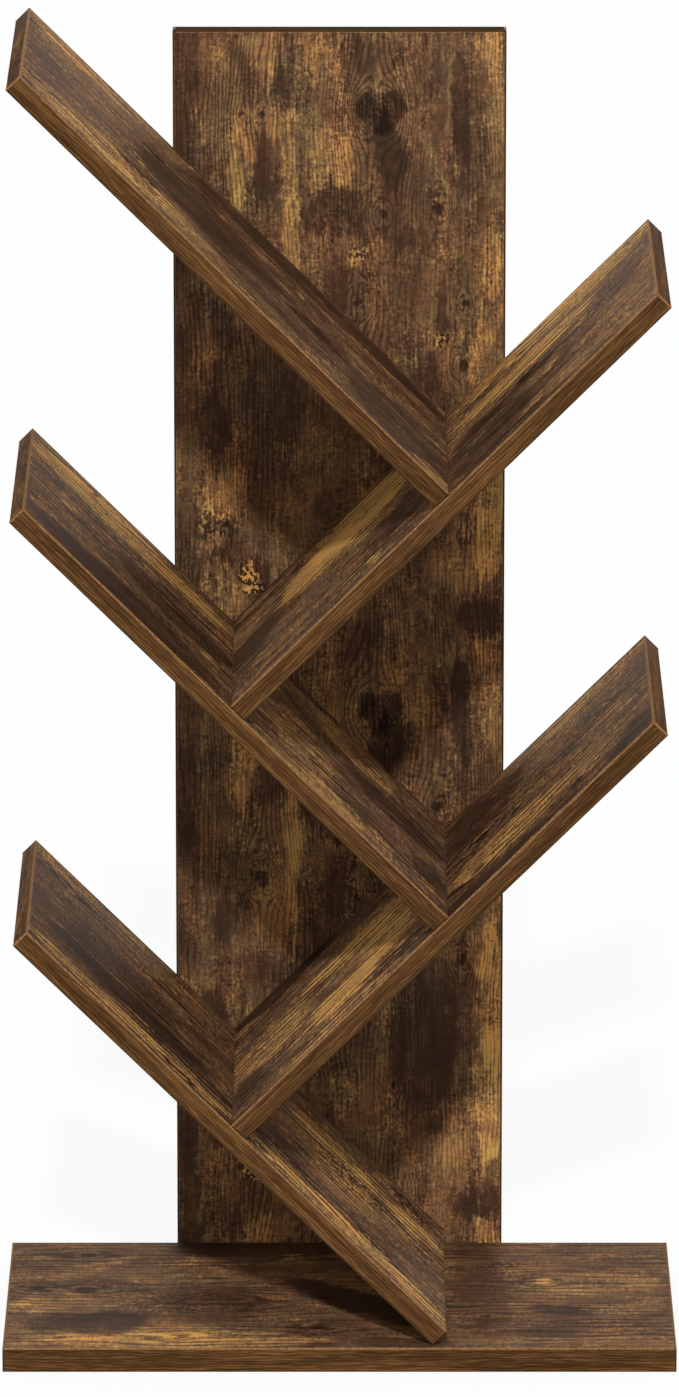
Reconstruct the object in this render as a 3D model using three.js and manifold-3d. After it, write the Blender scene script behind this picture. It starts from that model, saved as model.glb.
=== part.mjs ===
// Tree shaped bookshelf: a base board, a trunk panel and five slanted branch boards, with their edge
// bands and with the screws and dowels that hold them together.
// Millimetres, +Z up, front towards -Y. The origin lies on the floor, under the middle of the shelf.

import * as THREE from "three";
import { mergeVertices } from "three/addons/utils/BufferGeometryUtils.js";
import Module from "manifold-3d";

const wasm = await Module();
wasm.setup();

// Boards, measured over their edge bands
const BASE_WIDTH = 400;
const BASE_DEPTH = 200;
const BASE_THICKNESS = 15;
const TRUNK_WIDTH = 198;
const TRUNK_THICKNESS = 12;
const TRUNK_TOP_BELOW_TIP = 14; // from the highest corner of the top branch down to the trunk's top
const BRANCH_LENGTH = 350;
const BRANCH_THICKNESS = 12;
const BRANCH_SETBACK = 4; // from the front of the base back to the front of a branch
const BRANCH_COUNT = 5;
const SEAT_CENTRE_SHARE = 0.5; // where, along a branch, the next one stands on it
const LEAN = Math.PI / 4; // branches meet square and lean alike, so each leans half a right angle

// Edge bands and their glue
const BAND_THICKNESS = 1;
const GLUE_LINE = 0.1;

// Fits
const SEAT_GAP = 0.3; // under the lower end of a branch
const BORE_CLEARANCE = 0.3; // round a screw or a dowel, and past its far end
const CUT_OVERRUN = 1; // how far a cut starts outside the face that it enters

// Flat head screws with a hexagon socket
const SCREW_LENGTH = 40;
const SCREW_DIAMETER = 5;
const SCREW_POINT_LENGTH = 4;
const HEAD_DIAMETER = 9;
const HEAD_RIM = 0.5;
const HEAD_CONE = 2.2;
const HEAD_SINK = 0.3; // how far the head lies below the face of the board
const SOCKET_ACROSS_CORNERS = 3.4;
const SOCKET_DEPTH = 2;
const SOCKET_SIDES = 6;

// Dowels across the branch joints
const DOWEL_DIAMETER = 6;
const DOWEL_LENGTH = 24;
const DOWEL_CHAMFER = 0.8;
const DOWEL_SEAT_DEPTH = 7.5; // how far a dowel goes into the branch that carries the joint

// Where the screws sit
const ROOT_SCREW_INSET = 45; // along a branch, from its lower end
const SIDE_SCREW_INSET = 18; // across the trunk, from its side
const BASE_SCREW_INSET = 25; // across the trunk, from its side
const JOINT_SCREW_SPREAD = 50; // from the middle of a branch's depth to each joint screw

const ROUND_SIDES = 12; // flats round a screw, a dowel and their bores

// Depth planes, from the front of the base to the back of the trunk
const FRONT_Y = -(BASE_DEPTH + TRUNK_THICKNESS) / 2;
const TRUNK_FRONT_Y = FRONT_Y + BASE_DEPTH;
const TRUNK_BACK_Y = TRUNK_FRONT_Y + TRUNK_THICKNESS;
const BRANCH_FRONT_Y = FRONT_Y + BRANCH_SETBACK;
const BRANCH_MIDDLE_Y = (BRANCH_FRONT_Y + TRUNK_FRONT_Y) / 2;

// The zigzag of branches: each one's lower end stands square on the top face of the one below
const SEAT_CENTRE = BRANCH_LENGTH * SEAT_CENTRE_SHARE;
const SEAT_START = SEAT_CENTRE - BRANCH_THICKNESS / 2;
const SEAT_HEIGHT = BRANCH_THICKNESS + SEAT_GAP;
const ROOT_X = (SEAT_START * Math.cos(LEAN) - SEAT_HEIGHT * Math.sin(LEAN)) / 2;
const STEP_UP = SEAT_START * Math.sin(LEAN) + SEAT_HEIGHT * Math.cos(LEAN);
const FIRST_ROOT_Z = BASE_THICKNESS + SEAT_GAP;
const LAST_ROOT_Z = FIRST_ROOT_Z + (BRANCH_COUNT - 1) * STEP_UP;
const TIP_RISE = BRANCH_LENGTH * Math.sin(LEAN) + BRANCH_THICKNESS * Math.cos(LEAN);
const TRUNK_HEIGHT = LAST_ROOT_Z + TIP_RISE - TRUNK_TOP_BELOW_TIP;

// What a band takes off its side of a board, with its glue
const BAND_ALLOWANCE = BAND_THICKNESS + GLUE_LINE;

const boardMaterial = new THREE.MeshStandardMaterial({ color: 0x553a22, roughness: 0.6, metalness: 0 });
const bandMaterial = new THREE.MeshStandardMaterial({ color: 0x4e3520, roughness: 0.55, metalness: 0 });
const steelMaterial = new THREE.MeshStandardMaterial({ color: 0xb9b7b0, roughness: 0.35, metalness: 1 });
const beechMaterial = new THREE.MeshStandardMaterial({ color: 0xc9a273, roughness: 0.7, metalness: 0 });

// A closed three.js geometry as a solid that can be cut
function solidOf(geometry) {
  const bare = geometry.clone();
  bare.deleteAttribute("normal");
  bare.deleteAttribute("uv");
  const merged = mergeVertices(bare);
  return new wasm.Manifold(
    new wasm.Mesh({
      numProp: 3,
      vertProperties: new Float32Array(merged.attributes.position.array),
      triVerts: new Uint32Array(merged.index.array),
    }),
  );
}

// A solid back as a three.js geometry
function geometryOf(solid) {
  const mesh = solid.getMesh();
  const geometry = new THREE.BufferGeometry();
  geometry.setAttribute("position", new THREE.BufferAttribute(mesh.vertProperties, mesh.numProp));
  geometry.setIndex(new THREE.BufferAttribute(mesh.triVerts, 1));
  geometry.computeVertexNormals();
  return geometry;
}

// A block between two opposite corners, each given as x, y and z
function block(cornerA, cornerB) {
  const corners = [new THREE.Vector3(...cornerA), new THREE.Vector3(...cornerB)];
  const space = new THREE.Box3().setFromPoints(corners);
  const size = space.getSize(new THREE.Vector3());
  const middle = space.getCenter(new THREE.Vector3());
  return new THREE.BoxGeometry(size.x, size.y, size.z).translate(middle.x, middle.y, middle.z);
}

// A round piece along +Z, from pairs of radius and height that start and end on the axis
function turned(profile) {
  const points = profile.map(([radius, height]) => new THREE.Vector2(radius, height));
  return new THREE.LatheGeometry(points, ROUND_SIDES).rotateX(Math.PI / 2);
}

// A screw along +Z with its head at z = 0
function screwGeometry() {
  const head = HEAD_DIAMETER / 2;
  const shank = SCREW_DIAMETER / 2;
  const body = turned([
    [0, 0],
    [head, 0],
    [head, HEAD_RIM],
    [shank, HEAD_RIM + HEAD_CONE],
    [shank, SCREW_LENGTH - SCREW_POINT_LENGTH],
    [0, SCREW_LENGTH],
  ]);
  const corner = SOCKET_ACROSS_CORNERS / 2;
  const socketLength = SOCKET_DEPTH + CUT_OVERRUN;
  const socket = new THREE.CylinderGeometry(corner, corner, socketLength, SOCKET_SIDES)
    .rotateX(Math.PI / 2)
    .translate(0, 0, SOCKET_DEPTH - socketLength / 2);
  return geometryOf(solidOf(body).subtract(solidOf(socket)));
}

// The countersunk bore that a screw needs, starting outside the face that the head is sunk into
function screwBoreGeometry() {
  const head = HEAD_DIAMETER / 2 + BORE_CLEARANCE;
  const shank = SCREW_DIAMETER / 2 + BORE_CLEARANCE;
  const end = SCREW_LENGTH + BORE_CLEARANCE;
  return turned([
    [0, -HEAD_SINK - CUT_OVERRUN],
    [head, -HEAD_SINK - CUT_OVERRUN],
    [head, HEAD_RIM + BORE_CLEARANCE],
    [shank, HEAD_RIM + HEAD_CONE + BORE_CLEARANCE],
    [shank, end],
    [0, end],
  ]);
}

// A dowel along +Z from z = 0, with chamfered ends
function dowelGeometry() {
  const radius = DOWEL_DIAMETER / 2;
  return turned([
    [0, 0],
    [radius - DOWEL_CHAMFER, 0],
    [radius, DOWEL_CHAMFER],
    [radius, DOWEL_LENGTH - DOWEL_CHAMFER],
    [radius - DOWEL_CHAMFER, DOWEL_LENGTH],
    [0, DOWEL_LENGTH],
  ]);
}

// The bore that a dowel needs
function dowelBoreGeometry() {
  const radius = DOWEL_DIAMETER / 2 + BORE_CLEARANCE;
  const end = DOWEL_LENGTH + BORE_CLEARANCE;
  return turned([
    [0, -BORE_CLEARANCE],
    [radius, -BORE_CLEARANCE],
    [radius, end],
    [0, end],
  ]);
}

const screwShape = screwGeometry();
const screwBore = screwBoreGeometry();
const dowelShape = dowelGeometry();
const dowelBore = dowelBoreGeometry();

const shelf = new THREE.Group();
const boardPieces = [];
const fasteners = [];

// Adds a board or a band to its group
function addBoardPiece(group, name, geometry, material) {
  const piece = new THREE.Mesh(geometry, material);
  piece.name = name;
  group.add(piece);
  boardPieces.push(piece);
}

// Adds a screw or a dowel to its group; every board and band that it reaches is bored for it
function addFastener(group, name, geometry, bore, material) {
  const piece = new THREE.Mesh(geometry, material);
  piece.name = name;
  piece.userData.bore = bore;
  group.add(piece);
  fasteners.push(piece);
  return piece;
}

// A screw driven forward from the back of the trunk, at x and z in its group
function addTrunkScrew(group, name, x, z) {
  const screw = addFastener(group, name, screwShape, screwBore, steelMaterial);
  screw.rotation.x = Math.PI / 2;
  screw.position.set(x, TRUNK_BACK_Y - HEAD_SINK, z);
}

// The base: its front and back bands run over the ends of its side bands
function addBase() {
  const side = BASE_WIDTH / 2;
  const coreSide = side - BAND_ALLOWANCE;
  const coreFront = FRONT_Y + BAND_ALLOWANCE;
  const coreBack = TRUNK_FRONT_Y - BAND_ALLOWANCE;
  const group = new THREE.Group();
  const add = (name, cornerA, cornerB, material) =>
    addBoardPiece(group, name, block(cornerA, cornerB), material);
  const top = BASE_THICKNESS;
  add("base_board", [-coreSide, coreFront, 0], [coreSide, coreBack, top], boardMaterial);
  add("base_band_front", [-side, FRONT_Y, 0], [side, FRONT_Y + BAND_THICKNESS, top], bandMaterial);
  add("base_band_back", [-side, TRUNK_FRONT_Y - BAND_THICKNESS, 0], [side, TRUNK_FRONT_Y, top], bandMaterial);
  for (const [name, sign] of [["left", -1], ["right", 1]]) {
    const outer = [sign * side, coreFront, 0];
    const inner = [sign * (side - BAND_THICKNESS), coreBack, top];
    add(`base_band_${name}`, outer, inner, bandMaterial);
  }
  const screwX = TRUNK_WIDTH / 2 - BASE_SCREW_INSET;
  for (const [name, x] of [["left", -screwX], ["middle", 0], ["right", screwX]]) {
    addTrunkScrew(group, `base_screw_${name}`, x, BASE_THICKNESS / 2);
  }
  shelf.add(group);
}

// The trunk: a panel behind the base, from the floor up, with its side bands over the ends of the top one
function addTrunk() {
  const side = TRUNK_WIDTH / 2;
  const coreSide = side - BAND_ALLOWANCE;
  const coreTop = TRUNK_HEIGHT - BAND_ALLOWANCE;
  const bandBottom = TRUNK_HEIGHT - BAND_THICKNESS;
  const group = new THREE.Group();
  const add = (name, cornerA, cornerB, material) =>
    addBoardPiece(group, name, block(cornerA, cornerB), material);
  add("trunk_panel", [-coreSide, TRUNK_FRONT_Y, 0], [coreSide, TRUNK_BACK_Y, coreTop], boardMaterial);
  add(
    "trunk_band_top",
    [-coreSide, TRUNK_FRONT_Y, bandBottom],
    [coreSide, TRUNK_BACK_Y, TRUNK_HEIGHT],
    bandMaterial,
  );
  for (const [name, sign] of [["left", -1], ["right", 1]]) {
    const outer = [sign * side, TRUNK_FRONT_Y, 0];
    const inner = [sign * (side - BAND_THICKNESS), TRUNK_BACK_Y, TRUNK_HEIGHT];
    add(`trunk_band_${name}`, outer, inner, bandMaterial);
  }
  shelf.add(group);
}

// A branch: its group's x = 0 is the lower end, z = 0 the underside, and side is +1 where its tip is
// towards +X and -1 where it is towards -X
function addBranch(number) {
  const side = number % 2 ? -1 : 1;
  const name = `branch_${number}_${side < 0 ? "left" : "right"}`;
  const group = new THREE.Group();
  group.rotation.y = -side * LEAN;
  group.position.set(-side * ROOT_X, 0, FIRST_ROOT_Z + (number - 1) * STEP_UP);

  const add = (part, start, end, front, back, material) =>
    addBoardPiece(
      group,
      `${name}_${part}`,
      block([side * start, front, 0], [side * end, back, BRANCH_THICKNESS]),
      material,
    );
  const coreFront = BRANCH_FRONT_Y + BAND_ALLOWANCE;
  const coreBack = TRUNK_FRONT_Y - BAND_ALLOWANCE;
  const coreEnd = BRANCH_LENGTH - BAND_ALLOWANCE;
  add("board", BAND_ALLOWANCE, coreEnd, coreFront, coreBack, boardMaterial);
  add("band_root", 0, BAND_THICKNESS, coreFront, coreBack, bandMaterial);
  add("band_tip", BRANCH_LENGTH - BAND_THICKNESS, BRANCH_LENGTH, coreFront, coreBack, bandMaterial);
  add("band_front", 0, BRANCH_LENGTH, BRANCH_FRONT_Y, BRANCH_FRONT_Y + BAND_THICKNESS, bandMaterial);
  add("band_back", 0, BRANCH_LENGTH, TRUNK_FRONT_Y - BAND_THICKNESS, TRUNK_FRONT_Y, bandMaterial);

  const middle = BRANCH_THICKNESS / 2;
  const trunkSide = (ROOT_X + TRUNK_WIDTH / 2 - SIDE_SCREW_INSET) / Math.cos(LEAN);
  addTrunkScrew(group, `${name}_screw_root`, side * ROOT_SCREW_INSET, middle);
  addTrunkScrew(group, `${name}_screw_side`, side * trunkSide, middle);
  if (number < BRANCH_COUNT) addJoint(group, number, side);
  shelf.add(group);
}

// The joint on top of a branch: two screws from its underside and a dowel, into the next one's end
function addJoint(group, number, side) {
  for (const [name, sign] of [["front", -1], ["back", 1]]) {
    const screw = addFastener(group, `joint_${number}_screw_${name}`, screwShape, screwBore, steelMaterial);
    screw.position.set(side * SEAT_CENTRE, BRANCH_MIDDLE_Y + sign * JOINT_SCREW_SPREAD, HEAD_SINK);
  }
  const dowel = addFastener(group, `joint_${number}_dowel`, dowelShape, dowelBore, beechMaterial);
  dowel.position.set(side * SEAT_CENTRE, BRANCH_MIDDLE_Y, BRANCH_THICKNESS - DOWEL_SEAT_DEPTH);
}

// Cuts the bore of each screw and dowel out of a board or band that it reaches
function drill(piece) {
  const toPiece = piece.matrixWorld.clone().invert();
  let solid = solidOf(piece.geometry);
  for (const fastener of fasteners) {
    const bore = fastener.userData.bore.clone();
    bore.applyMatrix4(fastener.matrixWorld).applyMatrix4(toPiece);
    solid = solid.subtract(solidOf(bore));
  }
  piece.geometry = geometryOf(solid);
}

addBase();
addTrunk();
for (let number = 1; number <= BRANCH_COUNT; number++) addBranch(number);
shelf.updateMatrixWorld(true);
boardPieces.forEach(drill);

export default shelf;
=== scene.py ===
"""Looks of a small tree shaped bookshelf: rustic brown boards with edge bands, screws and dowels.

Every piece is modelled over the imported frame, in metres, in the frame's own place.
"""

import math
from collections import namedtuple
from functools import partial

import bmesh
import bpy
from mathutils import Euler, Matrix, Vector


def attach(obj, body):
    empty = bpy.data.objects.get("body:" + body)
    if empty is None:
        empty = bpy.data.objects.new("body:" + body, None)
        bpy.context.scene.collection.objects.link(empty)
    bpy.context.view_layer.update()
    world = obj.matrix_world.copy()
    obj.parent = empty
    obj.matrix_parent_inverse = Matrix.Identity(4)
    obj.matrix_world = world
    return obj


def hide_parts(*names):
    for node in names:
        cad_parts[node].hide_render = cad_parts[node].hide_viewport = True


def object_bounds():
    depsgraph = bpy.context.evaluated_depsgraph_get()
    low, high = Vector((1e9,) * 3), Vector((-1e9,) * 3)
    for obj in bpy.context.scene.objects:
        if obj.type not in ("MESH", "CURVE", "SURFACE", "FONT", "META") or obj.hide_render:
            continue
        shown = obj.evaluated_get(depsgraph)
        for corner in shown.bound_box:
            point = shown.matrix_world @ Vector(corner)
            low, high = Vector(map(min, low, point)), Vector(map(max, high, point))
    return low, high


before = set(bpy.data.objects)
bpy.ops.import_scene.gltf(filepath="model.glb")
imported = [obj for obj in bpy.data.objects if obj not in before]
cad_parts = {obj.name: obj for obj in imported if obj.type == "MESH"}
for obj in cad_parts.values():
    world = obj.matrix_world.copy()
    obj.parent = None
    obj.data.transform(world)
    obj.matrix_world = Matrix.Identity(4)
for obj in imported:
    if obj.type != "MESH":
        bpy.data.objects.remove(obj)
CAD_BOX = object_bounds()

bl_info = {
    "name": "Tree Shaped Bookshelf",
    "version": (1, 0, 0),
    "blender": (4, 5, 0),
    "location": "3D View > Sidebar > Bookshelf",
    "description": "Boards, edge bands, screws and dowels of a tree shaped bookshelf, with their finishes",
    "category": "Add Mesh",
}

MM = 0.001
BRANCHES = {1: "left", 2: "right", 3: "left", 4: "right", 5: "left"}
# How each kind of piece lies: its length runs along +X before it is turned this way.
FLAT = Euler((0, 0, 0))
LEANS = {"right": Euler((0, math.radians(-45), 0)), "left": Euler((0, math.radians(-135), 0))}
INTO_THE_BACK = Euler((0, 0, math.radians(-90)))
# The sides of a board before it is turned: the axis that points out of each, and its sign.
SIDES = {"left": (0, -1), "right": (0, 1), "front": (1, -1), "back": (1, 1), "top": (2, 1)}
# How the print lies on the edge bands, with x along the band.
BAND_TURNS = {
    "along_x": FLAT,
    "along_y": Euler((0, 0, math.radians(90))),
    "along_z": Euler((0, math.radians(-90), 0)),
    "up_right": LEANS["right"],
    "up_left": LEANS["left"],
}

# Sizes of the screws and dowels that the frame doesn't hold
HEAD_ROLL = 0.45 * MM  # how far the outer edge of a screw's head is rolled over
HEAD_RIM = 0.5 * MM
HEAD_CONE = 2.2 * MM
NECK_RADIUS = 2.1 * MM
NECK_END = 7.0 * MM  # the places of the neck and the thread count from the head's face
THREAD_START = 8.0 * MM
THREAD_STOP = 5.0 * MM  # from the screw's tip
THREAD_CREST = 2.5 * MM  # radius
THREAD_ROOT = 1.75 * MM  # radius
SCREW_POINT = ((4.0 * MM, THREAD_ROOT), (1.2 * MM, 0.9 * MM), (0.0, 0.15 * MM))  # back from the tip, radius
SOCKET_CONE = 0.6 * MM  # depth of the cone in the socket's floor
SOCKET_TIP = 0.2 * MM  # that cone's radius at its bottom
SOCKET_SIDES = 6
DOWEL_CHAMFER = 0.8 * MM
FLUTE_EVERY = 4  # lines of points round the dowel from one flute to the next
FLUTE_FLOOR = 0.9  # radius at the bottom of a flute, as a share of the dowel's
CUT_OVERRUN = 1.0 * MM  # how far a cut starts outside the face that it enters

# How faces are told apart: cosines between a face and a direction, and a depth below a board's face
ON_FACE = 0.9
ON_OUTER_SIDE = 0.97
ON_ARRIS = 0.1
FACE_DEPTH = 0.05 * MM
# Points closer than this are in the same place.
SAME_PLACE = 1e-6
# Faces that meet at less than this are shaded as one round surface.
SMOOTH_UP_TO = math.radians(35)

# Finish values that several places share
RESIN_IOR = 1.5
ABS_IOR = 1.5
ARRIS_HIGHLIGHT = 3.8  # painted highlight: how many times lighter the bands' upper arrises are drawn than their scraped sides
TOP_SHADE = 0.42  # how dark the strip on the trunk's top is
REDDER = (1.08, 0.97, 0.92, 1)  # tints of the print
GREENER = (0.95, 1.02, 0.98, 1)
GREYER = (1.0, 1.01, 1.05, 1)


def linear(code):
    """The linear colour of an sRGB hex code."""
    parts = [int(code[i : i + 2], 16) / 255 for i in (1, 3, 5)]
    return tuple(p / 12.92 if p <= 0.04045 else ((p + 0.055) / 1.055) ** 2.4 for p in parts)


# the printed decor, board by board

# One patch of the print, in mm on its board: middle, half length along the grain, half width across it, how
# much it is rubbed light and golden (above 0) or left dark and smoky (below 0), and its turn in degrees. Some
# patches are painted light or painted shade instead, which lift a cast shadow or draw one in; their comments
# say so. A comment beside a patch names it and the ones after it, up to the next comment.
Patch = namedtuple("Patch", "along across length width tone turn", defaults=(0,))
# A knot: its middle, its radius (0 where other marks make its dark), and how far the grain bends round it (a
# radius too, 0 where the knot is one lobe of a greater one).
Knot = namedtuple("Knot", "along across radius bend")
# A board's print: its patches, its knots and the patches where it is flaked; how strong its streaks along
# the grain, its fibres and its short marks across them are; how many times wider than on an upright board
# its fine detail is drawn across the grain, so that it shows on a board seen at a slant; how dark its year
# rings are, and how many mm they lie apart (really 2 mm, and drawn as wide as it takes to show them).
Decor = namedtuple("Decor", "patches knots flakes streaks fibres marks widen rings ring_step")
# From one board's place on the printed sheet to the next one's, in mm, and how many times further apart than
# the board's thickness its two faces lie on it.
SHEET_STEPS = (517.0, 291.0, 83.0)
FACES_APART = 23
# Patches and knots reach this many mm into the board, so that its far face shows them too, a little fainter
# and with other edges.
FACE_REACH = 60.0
# Patches and flaked places fade out at this many times their size.
PATCH_RIM = 1.2
FLAKE_RIM = 1.25
# How short the fade at a patch's rim is.
PATCH_EDGE = 3.2
# Tones run from 0, burnt black, to 1, the lightest gold. The ground's middle, and what a knot's core adds.
MIDDLE_TONE = 0.535
KNOT_TONE = -0.34
# How many mm the year rings wander across the board.
RING_WANDER = 22.0
# The edge bands' dark lines: how many in a mm, and how far each wanders, in distances between lines.
BAND_LINES = 0.55
BAND_WANDER = 3.2

# The trunk's print repeats down the board, so its places are mm down from the top, within one repeat.
TRUNK_REPEAT = 370.0
# The first repeat starts this many mm above the top edge.
REPEAT_START = 25.0
# The patches' edges are mostly shaken by less than this many mm along the grain.
SHAKE_REACH = 20.0
TRUNK_PATCHES = (
    Patch(9, 55, 12, 15, 0.2),  # gold under the top edge
    Patch(16, 24, 9, 11, 0.1),
    Patch(15, 87, 15, 11, 0.1),
    Patch(52, 57, 11, 19, 0.16),  # orange round the two small knots
    Patch(83, 40, 28, 6, 0.26),  # long gold streak
    Patch(78, 92, 22, 14, 0.15),  # olive gold left of the big knot
    Patch(88, 68, 26, 5, 0.14),
    Patch(124, 71, 26, 6, 0.22),
    Patch(160, 70, 36, 9, 0.08),
    Patch(14, 188, 14, 8, 0.18),  # amber down the right edge
    Patch(50, 192, 26, 5, 0.12),
    Patch(155, 190, 34, 8, 0.22),
    Patch(198, 186, 18, 10, 0.2),
    Patch(25, 137, 7, 5, 0.14),
    Patch(50, 150, 12, 8, 0.1),
    Patch(292, 190, 46, 11, 0.32),  # tall honey field at the right, wide at its foot
    Patch(329, 176, 12, 20, 0.18),
    Patch(304, 172, 10, 14, 0.12),
    Patch(360, 184, 12, 14, -0.2),
    Patch(284, 31, 15, 14, 0.22),  # rubbed place at the left
    Patch(345, 32, 18, 6, 0.16),
    Patch(318, 22, 16, 8, 0.1),
    Patch(35, 5, 110, 9, -0.16),  # dark edge at the left
    Patch(150, 5, 60, 8, -0.1),
    Patch(27, 67, 12, 6, -0.16, 20),  # smear in the honey
    Patch(42, 78, 9, 9, -0.12),
    Patch(84, 57, 22, 9, -0.14),
    Patch(76, 128, 22, 10, -0.24),  # the big knot's tail
    Patch(12, 112, 12, 7, -0.14),  # smoke above it
    Patch(46, 172, 36, 5, -0.24, 3),  # long smoky stripes
    Patch(45, 157, 30, 6, -0.14),
    Patch(111, 95, 16, 18, -0.22),
    Patch(126, 144, 8, 13, -0.16),
    Patch(93, 172, 6, 7, -0.14),
    Patch(160, 96, 18, 9, -0.14),
    Patch(170, 160, 19, 4, -0.24),
    Patch(180, 29, 15, 7, -0.18),
    Patch(243, 23, 18, 10, -0.24),
    Patch(250, 150, 50, 22, -0.2),  # broad smoke above the honey field
    Patch(306, 26, 4, 11, -0.3),  # dashes in the rubbed place
    Patch(322, 27, 4, 11, -0.24),
    Patch(331, 52, 8, 5, -0.22),
    Patch(303, 152, 16, 12, -0.12),  # dark left of the honey field
    Patch(222, 60, 30, 20, -0.1),
    # Further down than one repeat, a patch shows once: painted light, which lifts the cast shadow of a branch
    # where it falls on the trunk.
    Patch(600, 193, 46, 11, 0.3),
    Patch(412, 110, 28, 34, 0.16),
    Patch(420, 156, 18, 20, 0.1),
    Patch(545, 60, 30, 14, 0.18),
)
TRUNK_FLAKES = (
    Patch(339, 45, 13, 8, 1),
    Patch(190, 159, 6, 4, 0.9),
    Patch(300, 26, 14, 10, 0.5),
    Patch(137, 110, 8, 6, 0.6),
    Patch(118, 96, 14, 14, 0.25),
)
TRUNK_KNOTS = (
    Knot(49, 121, 0, 13),  # the big knot's rings
    Knot(46, 117, 6.0, 0),  # its two lobes
    Knot(46, 130, 6.5, 0),
    Knot(54, 124, 6.5, 0),
    Knot(51, 41, 1.3, 3),
    Knot(51, 53, 1.6, 4),
    Knot(111, 125, 1.8, 5),
    Knot(108, 158, 2.5, 5),
    Knot(165, 110, 1.4, 9),
    Knot(166, 174, 1.5, 4),
    Knot(204, 173, 2.3, 6),
    Knot(153, 52, 3.6, 9),
    Knot(284, 132, 1.3, 4),
)
TRUNK_DECOR = Decor(
    TRUNK_PATCHES,
    TRUNK_KNOTS,
    TRUNK_FLAKES,
    streaks=0.35,
    fibres=1.0,
    marks=0.85,
    widen=1.0,
    rings=0.24,
    ring_step=2.6,
)

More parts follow.
